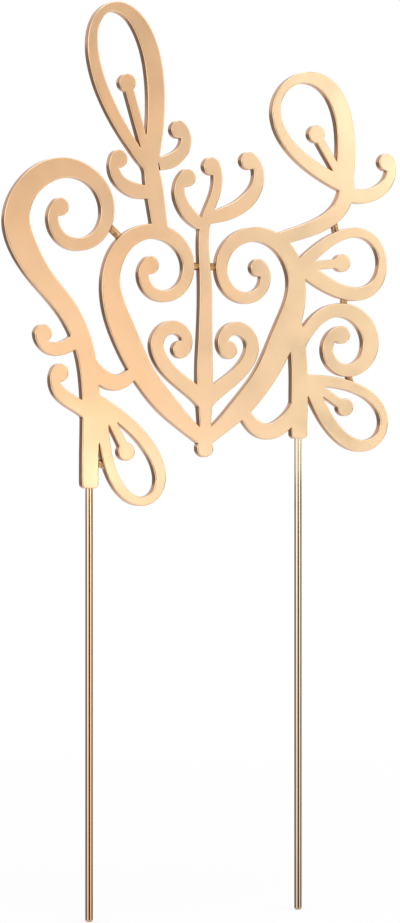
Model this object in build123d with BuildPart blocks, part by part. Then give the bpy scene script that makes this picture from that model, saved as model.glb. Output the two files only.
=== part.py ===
"""Openwork scroll cake topper: flat-cut metal scrolls, brazed edge to edge, on two round stakes.

Every scroll is a pen stroke lying in the XZ plane, cut from one thickness of sheet. Where a scroll
meets one cut before it, it is coped to that one's edge. Short round pegs tie scrolls that only pass
close by. The origin is at the stakes' tips, under the middle of the panel. +Z is up, the front faces -Y.
"""

import os
from math import cos, pi, radians, sin, sqrt

from build123d import *

# Driving sizes, in millimetres
panel_height = 130.0
plate_thickness = 2.5
fine_stroke = 2.4
bold_stroke = 7.2
bead_diameter = 4.7
stake_diameter = 2.0
stake_free_length = 107.0
stake_tip_rounding = 0.6
tenon_diameter = 1.4
tenon_length = 7.0
foot_rounding = 1.2
braze_gap = 0.04
peg_diameter = 2.0

# How finely a curve is drawn
stations_per_place = 2
spiral_step_deg = 45
drop_steps = 16

# The side of a stroke that its end bead swells to, seen along the stroke
bead_sides = {"left": 1, "right": -1}

os.makedirs("parts", exist_ok=True)
outlines = {}


def at(place_share):
    """A place in the panel, from its shares of the panel's height: across and up."""
    across_share, up_share = place_share
    return Vector(across_share * panel_height, stake_free_length + up_share * panel_height)


def pen(weight_share):
    """Width of the pen line: a weight of 0 is fine and 1 is bold."""
    return fine_stroke + weight_share * (bold_stroke - fine_stroke)


def mirrored_shares(path_shares):
    """The same places on the other side of the panel's middle line."""
    return [(-across_share, up_share) for across_share, up_share in path_shares]


def spiral_shares(centre_share, outer_share, inner_share, start_deg, turn_deg):
    """Places along a curl that closes in at a steady rate from its outer to its inner radius."""
    steps = round(abs(turn_deg) / spiral_step_deg)
    path_shares = []
    for step in range(steps + 1):
        radius_share = outer_share * (inner_share / outer_share) ** (step / steps)
        angle = radians(start_deg + turn_deg * step / steps)
        across_share = centre_share[0] + radius_share * cos(angle)
        up_share = centre_share[1] + radius_share * sin(angle)
        path_shares.append((across_share, up_share))
    return path_shares


def eased_pen(weight_shares, along):
    """Width of the pen line part way along a stroke, easing from each weight to the next."""
    last = len(weight_shares) - 1
    index = min(int(along * last), last - 1)
    ease = (1 - cos(pi * (along * last - index))) / 2
    return pen(weight_shares[index] * (1 - ease) + weight_shares[index + 1] * ease)


def bead(centre):
    """The round end of a scroll."""
    with BuildSketch() as disc:
        with Locations(centre):
            Circle(bead_diameter / 2)
    return disc.sketch


def stroke(path_shares, weight_shares, bead_side=None):
    """A pen stroke through the places, with a bead on its last end where a side is named for one."""
    with BuildLine():
        spine = Spline(*[at(place_share) for place_share in path_shares])
    stations = (len(path_shares) - 1) * stations_per_place
    left_points = []
    right_points = []
    for station in range(stations + 1):
        along = station / stations
        sideways = (spine % along).rotate(Axis.Z, 90) * (eased_pen(weight_shares, along) / 2)
        left_points.append(spine @ along + sideways)
        right_points.append(spine @ along - sideways)
    with BuildSketch() as line:
        with BuildLine():
            left_edge = Spline(*left_points)
            right_edge = Spline(*right_points)
            Line(left_edge @ 0, right_edge @ 0)
            Line(left_edge @ 1, right_edge @ 1)
        make_face()
        if bead_side:
            inset = (bead_diameter - pen(weight_shares[-1])) / 2 * bead_sides[bead_side]
            add(bead(spine @ 1 + (spine % 1).rotate(Axis.Z, 90) * inset))
    return line.sketch


def drop(base, tip, breadth):
    """A drop with its point at base and its round end at tip: half-width sin(t) sin(t / 2) about its axis."""
    axis = tip - base
    across = axis.normalized().rotate(Axis.Z, 90)
    widest = 4 / sqrt(27)
    points = []
    for step in range(drop_steps + 1):
        turn = 2 * pi * step / drop_steps
        swell = sin(turn) * sin(turn / 2) / widest
        points.append(base + axis * ((1 - cos(turn)) / 2) + across * (breadth / 2 * swell))
    with BuildSketch() as face:
        with BuildLine():
            Spline(*points)
        make_face()
    return face.sketch


def leaf(base_share, tip_share, breadth_share, left_weight_share, right_weight_share, vein_share):
    """A drop-shaped loop with its own pen weight on each flank, and a beaded vein up its middle."""
    base = at(base_share)
    tip = at(tip_share)
    breadth = breadth_share * panel_height
    axis = (tip - base).normalized()
    left_rim = pen(left_weight_share)
    right_rim = pen(right_weight_share)
    shift = axis.rotate(Axis.Z, 90) * ((right_rim - left_rim) / 2)
    inner_base = base + axis * (left_rim + right_rim) + shift
    inner_tip = tip - axis * fine_stroke + shift
    with BuildSketch() as loop:
        add(drop(base, tip, breadth))
        add(drop(inner_base, inner_tip, breadth - left_rim - right_rim), mode=Mode.SUBTRACT)
        with BuildLine():
            vein = Line(base + axis * fine_stroke, inner_base + (inner_tip - inner_base) * vein_share)
        trace(line_width=fine_stroke)
        add(bead(vein @ 1))
    return loop.sketch


def joined(*faces):
    """One outline from several faces that overlap."""
    with BuildSketch() as outline:
        for face in faces:
            add(face)
    return outline.sketch


def scroll(name, outline, foot_share=None):
    """Cuts a scroll from the sheet, coped to those cut before it, with a stake socket up any foot."""
    with BuildSketch() as coped:
        add(outline)
        for earlier in outlines.values():
            add(earlier, mode=Mode.SUBTRACT)
    outlines[name] = coped.sketch.faces().sort_by(SortBy.AREA)[-1]
    with BuildPart() as plate:
        with BuildSketch(Plane.XZ):
            add(outlines[name])
        extrude(amount=plate_thickness / 2, both=True)
        if foot_share:
            foot = at(foot_share)
            split(bisect_by=Plane.XY.offset(foot.Y), keep=Keep.TOP)
            corners = plate.faces().sort_by(Axis.Z)[0].edges().sort_by(Axis.X)
            fillet((corners[0], corners[-1]), foot_rounding)
            with Locations((foot.X, 0, foot.Y)):
                Cylinder(tenon_diameter / 2 + braze_gap, tenon_length, mode=Mode.SUBTRACT,
                         align=(Align.CENTER, Align.CENTER, Align.MIN))
    plate.part.label = name
    export_step(plate.part, f"parts/{name}.step")


def peg(name, seats, path_shares):
    """A round pin from the first seat's middle line to the second's, coped a braze gap short of both."""
    start, end = [Vector(place.X, 0, place.Y) for place in map(at, path_shares)]
    inset = (at(path_shares[1]) - at(path_shares[0])).normalized() * braze_gap
    with BuildPart() as pin:
        with BuildSketch(Plane(origin=start, z_dir=end - start)):
            Circle(peg_diameter / 2)
        extrude(amount=(end - start).length)
        for seat, shift in zip(seats, (inset, -inset)):
            with BuildSketch(Plane.XZ):
                with Locations(shift):
                    add(outlines[seat])
            extrude(amount=plate_thickness / 2, both=True, mode=Mode.SUBTRACT)
    shank = pin.part.solids().sort_by(SortBy.VOLUME)[-1]
    shank.label = name
    export_step(shank, f"parts/{name}.step")


def stake(name, foot_share):
    """A round rod with a blunt rounded tip, a shoulder against the foot and a tenon in its socket."""
    foot = at(foot_share)
    with BuildPart() as rod:
        with Locations((foot.X, 0)):
            Cylinder(stake_diameter / 2, foot.Y, align=(Align.CENTER, Align.CENTER, Align.MIN))
            fillet(rod.edges().sort_by(Axis.Z)[0], stake_tip_rounding)
        with Locations((foot.X, 0, foot.Y)):
            Cylinder(tenon_diameter / 2, tenon_length, align=(Align.CENTER, Align.CENTER, Align.MIN))
    rod.part.label = name
    export_step(rod.part, f"parts/{name}.step")


# Feet of the two stems, where the stakes enter
left_foot_share = (-0.250, 0.035)
right_foot_share = (0.212, 0.135)

# Heart: a middle stem with a curled scroll and a tendril on each side
stem_shares = [(0.0, 0.115), (0.0, 0.300), (0.0, 0.470), (0.003, 0.575), (0.027, 0.640), (0.023, 0.685)]
stem = stroke(stem_shares, weight_shares=[0.1, 0.45, 0.25, 0.1, 0.0], bead_side="left")
scroll("centre_stem", joined(stem, bead(at(stem_shares[0]))))

heart_shares = [(0.0, 0.130), (-0.072, 0.190), (-0.134, 0.262), (-0.178, 0.345)]
heart_shares += spiral_shares(centre_share=(-0.099, 0.466), outer_share=0.108, inner_share=0.032,
                              start_deg=188, turn_deg=-405)
heart_weight_shares = [0.25, 0.75, 0.95, 0.5, 0.3, 0.15, 0.1]
scroll("heart_left_scroll", stroke(heart_shares, heart_weight_shares, "right"))
scroll("heart_right_scroll", stroke(mirrored_shares(heart_shares), heart_weight_shares, "left"))

tendril_shares = [(0.0, 0.205), (-0.048, 0.245)]
tendril_shares += spiral_shares(centre_share=(-0.066, 0.324), outer_share=0.044, inner_share=0.024,
                                start_deg=225, turn_deg=-270)
tendril_weight_shares = [0.35, 0.3, 0.25, 0.1]
scroll("heart_left_tendril", stroke(tendril_shares, tendril_weight_shares, "right"))
scroll("heart_right_tendril", stroke(mirrored_shares(tendril_shares), tendril_weight_shares, "left"))

# Crown: two sprigs, a tall leaf between two curls, and a round leaf with one curl
left_sprig_shares = [(0.001, 0.560), (-0.036, 0.585), (-0.056, 0.622), (-0.046, 0.662)]
scroll("left_sprig", stroke(left_sprig_shares, weight_shares=[0.1, 0.25, 0.15, 0.0], bead_side="right"))
right_sprig_shares = [(0.003, 0.575), (0.053, 0.590), (0.097, 0.617), (0.120, 0.659), (0.104, 0.702)]
scroll("right_sprig", stroke(right_sprig_shares, weight_shares=[0.1, 0.3, 0.35, 0.15, 0.0], bead_side="left"))

tall_stalk_shares = [(-0.122, 0.695), (-0.112, 0.635), (-0.098, 0.546)]
tall_stalk = stroke(tall_stalk_shares, weight_shares=[0.5, 0.5, 0.4])
tall_leaf = leaf(base_share=(-0.112, 0.645), tip_share=(-0.205, 1.0), breadth_share=0.155,
                 left_weight_share=0.15, right_weight_share=0.5, vein_share=0.5)
scroll("tall_leaf", joined(tall_leaf, tall_stalk))
tall_curl_weight_shares = [0.2, 0.3, 0.15, 0.0]
tall_left_curl_shares = [(-0.112, 0.628), (-0.153, 0.628), (-0.190, 0.650), (-0.197, 0.692)]
scroll("tall_leaf_left_curl", stroke(tall_left_curl_shares, tall_curl_weight_shares, "right"))
tall_right_curl_shares = [(-0.112, 0.685), (-0.074, 0.690), (-0.045, 0.718), (-0.050, 0.758)]
scroll("tall_leaf_right_curl", stroke(tall_right_curl_shares, tall_curl_weight_shares, "left"))

round_stalk_shares = [(0.318, 0.670), (0.303, 0.603), (0.245, 0.565), (0.150, 0.533)]
round_stalk = stroke(round_stalk_shares, weight_shares=[0.4, 0.4, 0.3, 0.2])
round_leaf = leaf(base_share=(0.330, 0.630), tip_share=(0.195, 0.870), breadth_share=0.175,
                  left_weight_share=0.1, right_weight_share=0.5, vein_share=0.45)
scroll("round_leaf", joined(round_leaf, round_stalk))
round_curl_shares = [(0.315, 0.640), (0.366, 0.633), (0.413, 0.660), (0.421, 0.706)]
scroll("round_leaf_curl", stroke(round_curl_shares, weight_shares=[0.3, 0.3, 0.15, 0.0], bead_side="left"))

# Left side: a tall S scroll that runs down to the stake, with two curls, a swag and a hanging leaf
s_shares = [(-0.250, 0.020), (-0.250, 0.120), (-0.250, 0.225), (-0.264, 0.315), (-0.301, 0.390),
            (-0.353, 0.450), (-0.393, 0.512)]
s_shares += spiral_shares(centre_share=(-0.286, 0.574), outer_share=0.122, inner_share=0.040,
                          start_deg=188, turn_deg=-400)
s_weight_shares = [0.45, 0.5, 0.55, 0.65, 1.0, 0.75, 0.35, 0.2, 0.1]
scroll("left_s_scroll", stroke(s_shares, s_weight_shares, "right"), left_foot_share)
left_upper_curl_shares = [(-0.267, 0.345), (-0.300, 0.316), (-0.338, 0.312), (-0.360, 0.338)]
scroll("left_upper_curl", stroke(left_upper_curl_shares, weight_shares=[0.3, 0.25, 0.0], bead_side="right"))
left_lower_curl_shares = [(-0.250, 0.180), (-0.290, 0.206), (-0.320, 0.230), (-0.324, 0.266)]
scroll("left_lower_curl", stroke(left_lower_curl_shares, weight_shares=[0.3, 0.25, 0.0], bead_side="right"))
left_swag_shares = [(-0.263, 0.310), (-0.235, 0.264), (-0.196, 0.245), (-0.161, 0.262), (-0.147, 0.286)]
scroll("left_swag", stroke(left_swag_shares, weight_shares=[0.2, 0.4, 0.1]))
hanging_leaf = leaf(base_share=(-0.233, 0.222), tip_share=(-0.115, 0.006), breadth_share=0.122,
                    left_weight_share=0.2, right_weight_share=0.1, vein_share=0.45)
scroll("hanging_leaf", hanging_leaf)

# Right side: a side leaf, and a stem down to the other stake with a volute, a leaf and a swag
side_leaf = leaf(base_share=(0.193, 0.483), tip_share=(0.412, 0.497), breadth_share=0.150,
                 left_weight_share=0.05, right_weight_share=0.25, vein_share=0.45)
scroll("side_leaf", side_leaf)
right_stem_shares = [(0.212, 0.120), (0.212, 0.200), (0.212, 0.270), (0.204, 0.350), (0.188, 0.420)]
scroll("right_stem", stroke(right_stem_shares, weight_shares=[0.45, 0.5, 0.45, 0.3]), right_foot_share)
volute_shares = [(0.208, 0.315), (0.240, 0.365)]
volute_shares += spiral_shares(centre_share=(0.315, 0.323), outer_share=0.078, inner_share=0.032,
                               start_deg=112, turn_deg=-370)
scroll("right_volute", stroke(volute_shares, weight_shares=[0.25, 0.25, 0.5, 0.2, 0.1], bead_side="right"))
lower_leaf = leaf(base_share=(0.214, 0.265), tip_share=(0.404, 0.135), breadth_share=0.130,
                  left_weight_share=0.05, right_weight_share=0.25, vein_share=0.45)
scroll("lower_leaf", lower_leaf)
right_swag_shares = [(0.212, 0.226), (0.181, 0.168), (0.136, 0.149), (0.098, 0.172), (0.084, 0.212)]
scroll("right_swag", stroke(right_swag_shares, weight_shares=[0.25, 0.4, 0.1]))

# Pegs between scrolls that pass close by
peg("left_scroll_peg", ["left_s_scroll", "heart_left_scroll"], path_shares=[(-0.215, 0.562), (-0.178, 0.528)])
peg("heart_left_peg", ["heart_left_scroll", "centre_stem"], path_shares=[(-0.036, 0.480), (0.0, 0.480)])
peg("heart_right_peg", ["heart_right_scroll", "centre_stem"], path_shares=[(0.036, 0.480), (0.0, 0.480)])
peg("side_leaf_peg", ["round_leaf", "side_leaf"], path_shares=[(0.290, 0.590), (0.300, 0.545)])
peg("volute_peg", ["side_leaf", "right_volute"], path_shares=[(0.318, 0.435), (0.315, 0.398)])
peg("lower_leaf_peg", ["right_volute", "lower_leaf"], path_shares=[(0.322, 0.278), (0.335, 0.238)])
peg("hanging_leaf_peg", ["left_s_scroll", "hanging_leaf"], path_shares=[(-0.250, 0.092), (-0.210, 0.078)])

stake("left_stake", left_foot_share)
stake("right_stake", right_foot_share)
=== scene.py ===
"""Dresses the scroll cake topper: champagne-gold plates with rounded rims, bronze pegs, polished stakes."""

from math import ceil, cos, pi, radians, sin, tan

import bmesh
import bpy
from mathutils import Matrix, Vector
from mathutils.bvhtree import BVHTree


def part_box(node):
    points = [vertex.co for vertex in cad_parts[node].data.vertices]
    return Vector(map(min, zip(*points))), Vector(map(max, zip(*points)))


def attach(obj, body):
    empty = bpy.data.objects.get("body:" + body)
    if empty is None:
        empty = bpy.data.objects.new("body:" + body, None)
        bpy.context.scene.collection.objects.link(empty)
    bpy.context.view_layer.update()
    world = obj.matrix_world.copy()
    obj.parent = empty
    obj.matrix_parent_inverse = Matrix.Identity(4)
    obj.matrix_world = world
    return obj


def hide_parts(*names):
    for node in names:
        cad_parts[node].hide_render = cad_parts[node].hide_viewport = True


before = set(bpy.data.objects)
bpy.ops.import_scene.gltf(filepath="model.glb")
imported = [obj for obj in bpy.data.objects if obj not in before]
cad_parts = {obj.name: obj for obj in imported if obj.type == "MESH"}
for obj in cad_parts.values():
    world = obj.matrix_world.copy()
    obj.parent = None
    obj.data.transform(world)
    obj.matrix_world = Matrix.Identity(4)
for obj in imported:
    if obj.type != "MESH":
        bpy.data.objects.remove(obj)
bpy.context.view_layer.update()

MM = 0.001

# Outlines of the plates
WELD = 0.001 * MM
FLAT = 0.01 * MM
CORNER_TURN = radians(32)
OUTLINE_STEP = 0.4 * MM
LONGEST_MITRE = 1.8

# Rims of the plates: rounded, but filed flush along a brazed joint
RIM_RADIUS = 0.3 * MM
JOINT_RIM = 0.012 * MM
JOINT_REACH = 0.12 * MM
RIM_TURNS = [radians(degrees) for degrees in (0, 30, 60, 90)]
# Share of the painted rim highlight on each ring, strongest halfway round the rim
RIM_SHARES = [sin(2 * turn) for turn in RIM_TURNS + RIM_TURNS[::-1]]
RIM_LAYER = "rim"

# The cut wall lies between the two rims, and has a metal of its own
WALL_BAND = len(RIM_TURNS) - 1
FACE_SLOT, WALL_SLOT = 0, 1

# Where the plating turns from copper to pale gold: across the panel, where the paler right is partly a
# painted highlight, up the stakes, from stake to stake
PANEL_TINT_AND_HIGHLIGHT = (-20 * MM, 35 * MM)
STAKE_TINT = (0, 105 * MM)
STAKE_SIDES = (-30 * MM, 25 * MM)

# Distances from the middle of the sheet over which painted shade darkens the cut walls towards the rims
WALL_SHADE_SPAN = (0.45 * MM, 0.95 * MM)

# Colours of the metals: places along a ramp with a colour each, single tints, and a factor for each channel
# Tones of the faces, whose pale end is partly a painted highlight
FACE_TONES_AND_HIGHLIGHT = [(0.1, (0.80, 0.48, 0.255)), (0.4, (0.77, 0.525, 0.318)), (0.75, (0.82, 0.59, 0.355))]
FACE_CLOUD = (0.66, 0.43, 0.25)
# Colour of the painted highlight along the rounded rims
RIM_PAINTED_HIGHLIGHT = (0.90, 0.72, 0.48)
# Tones of the cut walls, darkened with painted shade
WALL_TONES_AND_SHADE = [(0.3, (0.45, 0.205, 0.083)), (0.5, (0.58, 0.285, 0.127)), (0.72, (0.72, 0.41, 0.197))]
# Brown of the painted shade at the front and back edges of the cut walls
PAINTED_EDGE_SHADE = (0.17, 0.078, 0.034)
PEG_TONES = [(0.3, (0.22, 0.11, 0.045)), (0.6, (0.55, 0.33, 0.15)), (0.8, (0.75, 0.50, 0.27))]
STAKE_TONES = [(0.0, (0.43, 0.26, 0.165)), (0.45, (0.64, 0.42, 0.27)), (0.95, (0.77, 0.56, 0.37))]
PALER = (0.94, 1.1, 1.2)

# Roughness of the metals, and the clear lacquer on the faces
FACE_ROUGHNESS = (0.17, 0.26)
WALL_ROUGHNESS = (0.16, 0.3)
PEG_ROUGHNESS = (0.14, 0.3)
STAKE_ROUGHNESS = (0.05, 0.1)
LACQUER_WEIGHT = 0.7
LACQUER_ROUGHNESS = 0.1

# Depths of the relief on the metals
POLISHING_WAVE = 0.32 * MM
BRUSH_MARK = 0.0025 * MM
CUTTING_LINE = 0.006 * MM
BRAZE_LUMP = 0.06 * MM
WIRE_WAVE = 0.05 * MM

# Shader nodes: the middle span of a noise, and the sockets of a colour mix
NOISE_SPAN = (0.3, 0.7)
MIX_FACTOR, MIX_FIRST, MIX_SECOND, MIX_RESULT = 0, 6, 7, 2

# Camera, to the left of the front, with its azimuth in degrees
CAMERA_AZIMUTH = -25
CAMERA_DISTANCE = 0.935
CAMERA_HEIGHT = 0.1185
CAMERA_LENS = 139.6
AIM_ACROSS = -1 * MM

# Studio, with angles in degrees
WHITE = (1, 1, 1, 1)
AMBIENT = 0.85
FLOOR_PAINT = (0.92, 0.92, 0.92, 1)
FLOOR_RADIUS = 6.0
FLOOR_SIDES = 96
FLOOR_WHITENESS = (0.7, 1.0)
FLOOR_FADE = (0.15, 0.6)
LIGHT_TARGET = Vector((0, 0, 0.12))
CARD_DISTANCE = 2.0
CARD_STEP = 4


def welded(node):
    """A CAD node's mesh with its split seams closed."""
    mesh = bmesh.new()
    mesh.from_mesh(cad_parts[node].data)
    bmesh.ops.remove_doubles(mesh, verts=mesh.verts, dist=WELD)
    return mesh


def search_tree(node):
    """A CAD node's surface, to find what lies close to it."""
    solid = welded(node)
    tree = BVHTree.FromBMesh(solid)
    solid.free()
    return tree


def front_outlines(mesh, half):
    """The closed outlines of a plate's front, as points across and up with the metal on their left."""
    front = [face for face in mesh.faces if all(vert.co.y < FLAT - half for vert in face.verts)]
    on_front = set(front)
    following = {}
    for face in front:
        for loop in face.loops:
            if not on_front.issuperset(loop.edge.link_faces):
                following[loop.vert] = loop.link_loop_next.vert
    outlines = []
    while following:
        first, vert = following.popitem()
        outline = [first.co.xz]
        while vert != first:
            outline.append(vert.co.xz)
            vert = following.pop(vert)
        outlines.append(outline)
    return outlines


def smooth_tangent(before, after):
    """The way of a curve where two sides of an outline meet, or None where they make a sharp corner."""
    if before.angle(after) > CORNER_TURN:
        return None
    weighed = before.normalized() * after.length + after.normalized() * before.length
    return weighed.normalized()


def corner_tangent(straight, other):
    """The way of a curve at a sharp corner: not bent there, whichever way it has at its other end."""
    return straight * 1.5 - other * 0.5


def smoothed(outline):
    """The outline with more points, on a smooth curve through those it has. Sharp corners stay sharp."""
    sides = [end - start for start, end in zip(outline, outline[1:] + outline[:1])]
    tangents = [smooth_tangent(sides[i - 1], sides[i]) for i in range(len(sides))]
    points = []
    for start, side, leaving, arriving in zip(outline, sides, tangents, tangents[1:] + tangents[:1]):
        straight = side.normalized()
        leaving = leaving or corner_tangent(straight, arriving or straight)
        arriving = arriving or corner_tangent(straight, leaving)
        steps = ceil(side.length / OUTLINE_STEP)
        for step in range(steps):
            t = step / steps
            bend = leaving * (t * (1 - t) ** 2) - arriving * (t * t * (1 - t))
            points.append(start + side * (t * t * (3 - 2 * t)) + bend * side.length)
    return points


def inward(points):
    """For each point of an outline, the way into the metal that keeps both sides the same distance in."""
    ways = []
    for i, point in enumerate(points):
        before = (point - points[i - 1]).normalized().orthogonal()
        after = (points[(i + 1) % len(points)] - point).normalized().orthogonal()
        middle = (before + after).normalized()
        ways.append(middle * min(1 / middle.dot(after), LONGEST_MITRE))
    return ways


def rim_radii(points, neighbours):
    """The rim's radius at each point: small where another plate is brazed on."""
    radii = []
    for point in points:
        middle = Vector((point.x, 0, point.y))
        brazed = any(tree.find_nearest(middle, JOINT_REACH)[0] for tree in neighbours)
        radii.append(JOINT_RIM if brazed else RIM_RADIUS)
    return radii


def rim_rings(points, neighbours, half):
    """Rings of places round one outline, from the front face over its rim, the wall and the back rim."""
    ways = inward(points)
    radii = rim_radii(points, neighbours)
    front, back = [], []
    for turn in RIM_TURNS:
        ring = []
        for point, way, radius in zip(points, ways, radii):
            place = point + way * (radius * (1 - sin(turn)))
            ring.append(Vector((place.x, radius * (1 - cos(turn)) - half, place.y)))
        front.append(ring)
        back.append([Vector((place.x, -place.y, place.z)) for place in ring])
    return front + back[::-1]


def ring_edges(mesh, ring):
    """The edges that join a ring of points."""
    return [mesh.edges.get((ring[i - 1], ring[i])) for i in range(len(ring))]


def add_wall(mesh, places):
    """Skins the rings of places round one outline. Returns the edges of its front ring and its back ring."""
    rim = mesh.verts.layers.float[RIM_LAYER]
    rings = []
    for ring_places, share in zip(places, RIM_SHARES):
        ring = [mesh.verts.new(place) for place in ring_places]
        for vert in ring:
            vert[rim] = share
        rings.append(ring)
    for band, (near, far) in enumerate(zip(rings, rings[1:])):
        for i in range(len(near)):
            face = mesh.faces.new((near[i - 1], far[i - 1], far[i], near[i]))
            face.smooth = True
            face.material_index = WALL_SLOT if band == WALL_BAND else FACE_SLOT
    return ring_edges(mesh, rings[0]), ring_edges(mesh, rings[-1])


def add_object(name, data):
    """An object in the scene that shows the data."""
    made = bpy.data.objects.new(name, data)
    bpy.context.scene.collection.objects.link(made)
    return made


def add_mesh_object(name, mesh):
    """An object in the scene with a mesh that is finished."""
    made = bpy.data.meshes.new(name)
    mesh.to_mesh(made)
    mesh.free()
    return add_object(name, made)


def build_plate(node, trees):
    """A plate on the CAD node's outline, with rounded rims, as a piece that stands for the node."""
    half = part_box(node)[1].y
    source = welded(node)
    outlines = [smoothed(outline) for outline in front_outlines(source, half)]
    source.free()
    neighbours = [tree for name, tree in trees.items() if name != node]
    mesh = bmesh.new()
    mesh.verts.layers.float.new(RIM_LAYER)
    front_edges, back_edges = [], []
    for points in outlines:
        front, back = add_wall(mesh, rim_rings(points, neighbours, half))
        front_edges += front
        back_edges += back
    for edges in (front_edges, back_edges):
        bmesh.ops.triangle_fill(mesh, edges=edges, use_beauty=True)
    bmesh.ops.recalc_face_normals(mesh, faces=mesh.faces)
    piece = add_mesh_object(node + "_plate", mesh)
    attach(piece, "root")
    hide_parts(node)
    return piece


def add_node(tree, kind, values=None, **settings):
    """A shader node with its settings, its sockets filled with values or joined to other nodes' sockets."""
    node = tree.nodes.new(kind)
    for setting, value in settings.items():
        setattr(node, setting, value)
    for socket, value in (values or {}).items():
        if isinstance(value, bpy.types.NodeSocket):
            tree.links.new(value, node.inputs[socket])
        else:
            node.inputs[socket].default_value = value
    return node


def add_points(tree):
    """The points of the surface, in the object's own frame."""
    return add_node(tree, "ShaderNodeTexCoord").outputs["Object"]


def add_place(tree, axis):
    """How far along an axis a point of the surface lies."""
    return add_node(tree, "ShaderNodeSeparateXYZ", {"Vector": add_points(tree)}).outputs[axis]


def add_noise(tree, scale, detail, stretch=(1, 1, 1), shift=(0, 0, 0)):
    """Noise over the object, in features per metre, stretched by direction."""
    values = {"Vector": add_points(tree), "Location": shift, "Scale": stretch}
    place = add_node(tree, "ShaderNodeMapping", values).outputs["Vector"]
    values = {"Vector": place, "Scale": scale, "Detail": detail}
    return add_node(tree, "ShaderNodeTexNoise", values).outputs["Fac"]


def add_math(tree, operation, *values):
    """One or two values put through an operation."""
    return add_node(tree, "ShaderNodeMath", dict(enumerate(values)), operation=operation).outputs["Value"]


def add_range(tree, value, to, over=(0.0, 1.0)):
    """A value that runs over one range, mapped to run over another."""
    values = {"Value": value, "From Min": over[0], "From Max": over[1], "To Min": to[0], "To Max": to[1]}
    return add_node(tree, "ShaderNodeMapRange", values).outputs["Result"]


def add_ramp(tree, factor, stops):
    """Colours along a factor, from pairs of place and colour."""
    node = add_node(tree, "ShaderNodeValToRGB", {"Fac": factor})
    elements = node.color_ramp.elements
    while len(elements) < len(stops):
        elements.new(1.0)
    for element, (place, colour) in zip(elements, stops):
        element.position = place
        element.color = (*colour, 1)
    return node.outputs["Color"]


def add_mix(tree, factor, first, second, blend="MIX"):
    """A plain colour blended into a varied one."""
    values = {MIX_FACTOR: factor, MIX_FIRST: first, MIX_SECOND: (*second, 1)}
    return add_node(tree, "ShaderNodeMix", values, data_type="RGBA", blend_type=blend).outputs[MIX_RESULT]


def add_bump(tree, height, distance, normal=None):
    """Relief of a real depth in metres, on top of any relief before it."""
    values = {"Height": height, "Distance": distance}
    if normal:
        values["Normal"] = normal
    return add_node(tree, "ShaderNodeBump", values).outputs["Normal"]


def new_material(name):
    """A material with its node tree."""
    made = bpy.data.materials.new(name)
    made.use_nodes = True
    return made, made.node_tree


def finish_metal(tree, colour, roughness, normal):
    """Makes a material's own surface metal, joined to its colour, roughness and relief, and returns it."""
    surface = tree.nodes["Principled BSDF"]
    surface.inputs["Metallic"].default_value = 1.0
    for socket, value in (("Base Color", colour), ("Roughness", roughness), ("Normal", normal)):
        tree.links.new(value, surface.inputs[socket])
    return surface


def plate_face():
    """Champagne-gold plating, satin-polished, paler to the right in part as a painted highlight, with slow
    waves and rims brightened by a painted highlight.
    """
    made, tree = new_material("plate_face")
    # Paler to the right: the plating's tint, and partly a painted highlight
    across = add_range(tree, add_place(tree, "X"), to=(0.0, 0.6), over=PANEL_TINT_AND_HIGHLIGHT)
    patch = add_range(tree, add_noise(tree, scale=40, detail=1.5), to=(0.0, 0.25), over=NOISE_SPAN)
    plating = add_ramp(tree, add_math(tree, "ADD", across, patch), FACE_TONES_AND_HIGHLIGHT)
    cloud = add_range(tree, add_noise(tree, scale=140, detail=4), to=(0.0, 0.25))
    plating = add_mix(tree, cloud, plating, FACE_CLOUD)
    # Painted highlight along the rounded rims
    rim = add_node(tree, "ShaderNodeAttribute", attribute_name=RIM_LAYER).outputs["Fac"]
    colour = add_mix(tree, add_range(tree, rim, to=(0.0, 0.35)), plating, RIM_PAINTED_HIGHLIGHT)
    smudge = add_noise(tree, scale=90, detail=5, shift=(3, 1, 2))
    roughness = add_range(tree, smudge, to=FACE_ROUGHNESS, over=NOISE_SPAN)
    wave = add_bump(tree, add_noise(tree, scale=28, detail=0.5, shift=(1, 5, 2)), POLISHING_WAVE)
    brushed = add_noise(tree, scale=900, detail=3, stretch=(1, 1, 0.06))
    normal = add_bump(tree, brushed, BRUSH_MARK, wave)
    surface = finish_metal(tree, colour, roughness, normal)
    surface.inputs["Coat Weight"].default_value = LACQUER_WEIGHT
    surface.inputs["Coat Roughness"].default_value = LACQUER_ROUGHNESS
    return made


def cut_wall():
    """The cut wall of a plate: plating darkened with painted shade over fine lines through the thickness,
    with painted shade darkest at the rims.
    """
    made, tree = new_material("cut_wall")
    # The wall's tones, darker than the face as painted shade
    colour = add_ramp(tree, add_noise(tree, scale=60, detail=3), WALL_TONES_AND_SHADE)
    # Painted shade, darkening the wall towards its front and back rims
    from_middle = add_math(tree, "ABSOLUTE", add_place(tree, "Y"))
    colour = add_mix(tree, add_range(tree, from_middle, to=(0.0, 0.85), over=WALL_SHADE_SPAN), colour, PAINTED_EDGE_SHADE)
    roughness = add_range(tree, add_noise(tree, scale=300, detail=3), to=WALL_ROUGHNESS)
    normal = add_bump(tree, add_noise(tree, scale=2400, detail=2, stretch=(1, 0.05, 1)), CUTTING_LINE)
    finish_metal(tree, colour, roughness, normal)
    return made


def peg_metal():
    """Bronze-gold braze over the pegs, a little uneven."""
    made, tree = new_material("peg_metal")
    colour = add_ramp(tree, add_noise(tree, scale=900, detail=3), PEG_TONES)
    roughness = add_range(tree, add_noise(tree, scale=1500, detail=2), to=PEG_ROUGHNESS)
    normal = add_bump(tree, add_noise(tree, scale=1200, detail=2), BRAZE_LUMP)
    finish_metal(tree, colour, roughness, normal)
    return made


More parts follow.
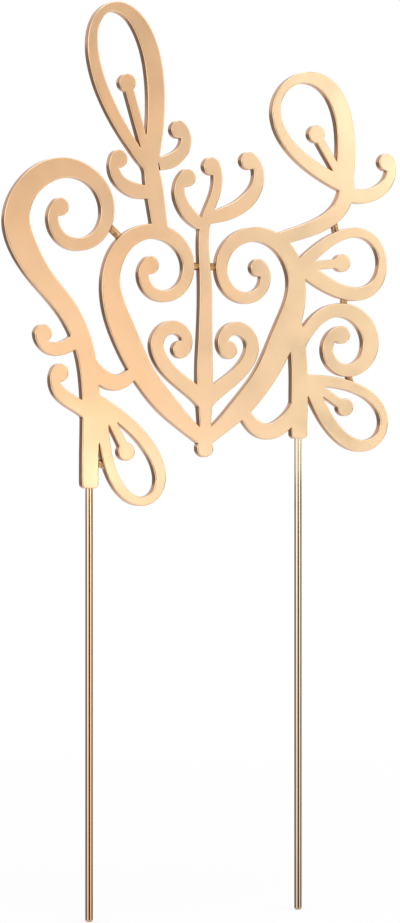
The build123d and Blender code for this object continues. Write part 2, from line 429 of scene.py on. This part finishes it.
def stake_metal():
    """Mirror-polished gold wire, with a copper tint that grows towards the tip. The right stake is paler."""
    made, tree = new_material("stake_metal")
    rise = add_range(tree, add_place(tree, "Z"), to=(0.0, 0.7), over=STAKE_TINT)
    patch = add_range(tree, add_noise(tree, scale=90, detail=2, stretch=(1, 1, 0.3)), to=(0.0, 0.3))
    colour = add_ramp(tree, add_math(tree, "ADD", rise, patch), STAKE_TONES)
    side = add_range(tree, add_place(tree, "X"), to=(0.0, 1.0), over=STAKE_SIDES)
    colour = add_mix(tree, side, colour, PALER, blend="MULTIPLY")
    roughness = add_range(tree, add_noise(tree, scale=250, detail=3), to=STAKE_ROUGHNESS)
    normal = add_bump(tree, add_noise(tree, scale=45, detail=1), WIRE_WAVE)
    finish_metal(tree, colour, roughness, normal)
    return made


def add_seen(tree):
    """1 on what is seen directly, in a reflection or through glass, and 0 for soft light."""
    path = add_node(tree, "ShaderNodeLightPath")
    seen = path.outputs["Is Camera Ray"]
    for ray in ("Is Glossy Ray", "Is Transmission Ray"):
        seen = add_math(tree, "MAXIMUM", seen, path.outputs[ray])
    return seen


def show(tree, shader):
    """Puts a shader on a material in place of the surface it came with."""
    tree.nodes.remove(tree.nodes["Principled BSDF"])
    tree.links.new(shader.outputs[0], tree.nodes["Material Output"].inputs["Surface"])


def build_world():
    """White wherever it is seen, and softer as light."""
    world = bpy.data.worlds.new("studio")
    world.use_nodes = True
    tree = world.node_tree
    soft = tree.nodes["Background"]
    soft.inputs["Color"].default_value = WHITE
    soft.inputs["Strength"].default_value = AMBIENT
    white = add_node(tree, "ShaderNodeBackground", {"Color": WHITE, "Strength": 1.0})
    sky = add_node(tree, "ShaderNodeMixShader", {0: add_seen(tree), 1: soft.outputs[0], 2: white.outputs[0]})
    tree.links.new(sky.outputs[0], tree.nodes["World Output"].inputs["Surface"])
    bpy.context.scene.world = world


def build_floor():
    """A plain pale floor that keeps the object's shadow and fades into the white background."""
    mesh = bmesh.new()
    bmesh.ops.create_circle(mesh, segments=FLOOR_SIDES, radius=FLOOR_RADIUS, cap_ends=True)
    floor = add_mesh_object("floor", mesh)
    paint, tree = new_material("floor_white")
    matt = add_node(tree, "ShaderNodeBsdfDiffuse", {"Color": FLOOR_PAINT})
    white = add_node(tree, "ShaderNodeEmission", {"Color": WHITE, "Strength": 1.0})
    reach = add_node(tree, "ShaderNodeVectorMath", {0: add_points(tree)}, operation="LENGTH")
    fade = add_range(tree, reach.outputs["Value"], to=FLOOR_WHITENESS, over=FLOOR_FADE)
    share = add_math(tree, "MULTIPLY", fade, add_seen(tree))
    show(tree, add_node(tree, "ShaderNodeMixShader", {0: share, 1: matt.outputs[0], 2: white.outputs[0]}))
    floor.data.materials.append(paint)
    floor.visible_glossy = False


def direction(azimuth, elevation=0):
    """The way out from the object, by degrees to the right of the front and degrees up."""
    turn, lift = radians(azimuth), radians(elevation)
    return Vector((sin(turn) * cos(lift), -cos(turn) * cos(lift), sin(lift)))


def place_facing(thing, place, target):
    """Puts a lamp or a camera at a place, upright and facing a target."""
    thing.location = place
    thing.rotation_mode = "QUATERNION"
    thing.rotation_quaternion = (place - target).to_track_quat("Z", "Y")


def build_softbox(name, azimuth, elevation, distance, size, radiance):
    """A soft rectangular lamp, placed by its direction from the object and facing it."""
    lamp = bpy.data.lights.new(name, "AREA")
    lamp.shape = "RECTANGLE"
    lamp.size, lamp.size_y = size
    lamp.energy = pi * lamp.size * lamp.size_y * radiance
    place = LIGHT_TARGET + direction(azimuth, elevation) * distance
    place_facing(add_object(name, lamp), place, LIGHT_TARGET)


def build_card(name, azimuths, elevations, radiance, distance=CARD_DISTANCE):
    """A curved studio card, dark or bright, that only reflections show."""
    start, end = azimuths
    low, high = (Vector((0, 0, tan(radians(elevation)))) for elevation in elevations)
    steps = ceil((end - start) / CARD_STEP)
    mesh = bmesh.new()
    posts = []
    for step in range(steps + 1):
        out = direction(start + (end - start) * step / steps)
        posts.append([mesh.verts.new(LIGHT_TARGET + (out + rise) * distance) for rise in (low, high)])
    for (foot, head), (next_foot, next_head) in zip(posts, posts[1:]):
        mesh.faces.new((foot, head, next_head, next_foot))
    card = add_mesh_object(name, mesh)
    paint, tree = new_material(name)
    show(tree, add_node(tree, "ShaderNodeEmission", {"Color": WHITE, "Strength": radiance}))
    card.data.materials.append(paint)
    card.visible_camera = card.visible_diffuse = card.visible_shadow = False


def build_lights():
    """Softboxes that light the object, and cards that its metal mirrors."""
    build_softbox("right_softbox", azimuth=49, elevation=20, distance=1.4, size=(0.9, 1.0), radiance=0.95)
    build_softbox("left_softbox", azimuth=-62, elevation=8, distance=1.4, size=(0.7, 1.4), radiance=0.95)
    build_softbox("top_softbox", azimuth=0, elevation=75, distance=1.6, size=(1.2, 1.2), radiance=1.2)

    # Dark lines down the middle and both edges of the stakes, and shade in the cut walls
    build_card("front_flag", azimuths=(-34, 10), elevations=(-13, -0.4), radiance=0.04)
    build_card("right_flag", azimuths=(54, 122), elevations=(-13, -0.4), radiance=0.12)
    build_card("left_flag", azimuths=(-174, -84), elevations=(-13, -0.4), radiance=0.34)
    build_card("wall_flag", azimuths=(-172, -143), elevations=(-27, 9), radiance=0.32, distance=1.8)

    # Deeper tones on the plates, at the top left and from the middle to the right
    build_card("tone_flag", azimuths=(12, 25), elevations=(7.0, 15), radiance=0.65, distance=1.9)
    build_card("face_card", azimuths=(24.6, 62), elevations=(-1.4, 30), radiance=0.6, distance=2.2)

    # Brighter tones on the plates, low down all across, at the lower left and at the upper right
    build_card("low_bounce", azimuths=(11, 44), elevations=(-13, -1.4), radiance=1.7)
    build_card("left_bounce", azimuths=(14, 24.4), elevations=(-1.4, 0.7), radiance=4.2)
    build_card("right_bounce", azimuths=(26.6, 34), elevations=(6.2, 12), radiance=2.3)


def build_camera():
    """A level camera to the left of the front."""
    lens = bpy.data.cameras.new("camera")
    lens.lens = CAMERA_LENS
    camera = add_object("camera", lens)
    target = Vector((AIM_ACROSS, 0, CAMERA_HEIGHT))
    place = direction(CAMERA_AZIMUTH) * CAMERA_DISTANCE + Vector((0, 0, CAMERA_HEIGHT))
    place_facing(camera, place, target)
    bpy.context.scene.camera = camera


# Every node that is no peg or stake is a plate
plate_nodes = [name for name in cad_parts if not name.endswith(("_peg", "_stake"))]
trees = {name: search_tree(name) for name in plate_nodes}
plate_metals = plate_face(), cut_wall()
for name in plate_nodes:
    piece = build_plate(name, trees)
    for metal in plate_metals:
        piece.data.materials.append(metal)

# Pegs and stakes keep their CAD meshes
round_metals = {"_peg": peg_metal(), "_stake": stake_metal()}
for name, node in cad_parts.items():
    for ending, metal in round_metals.items():
        if name.endswith(ending):
            node.data.materials.clear()
            node.data.materials.append(metal)

build_world()
build_floor()
build_lights()
build_camera()

bpy.context.scene.view_settings.view_transform = "Standard"
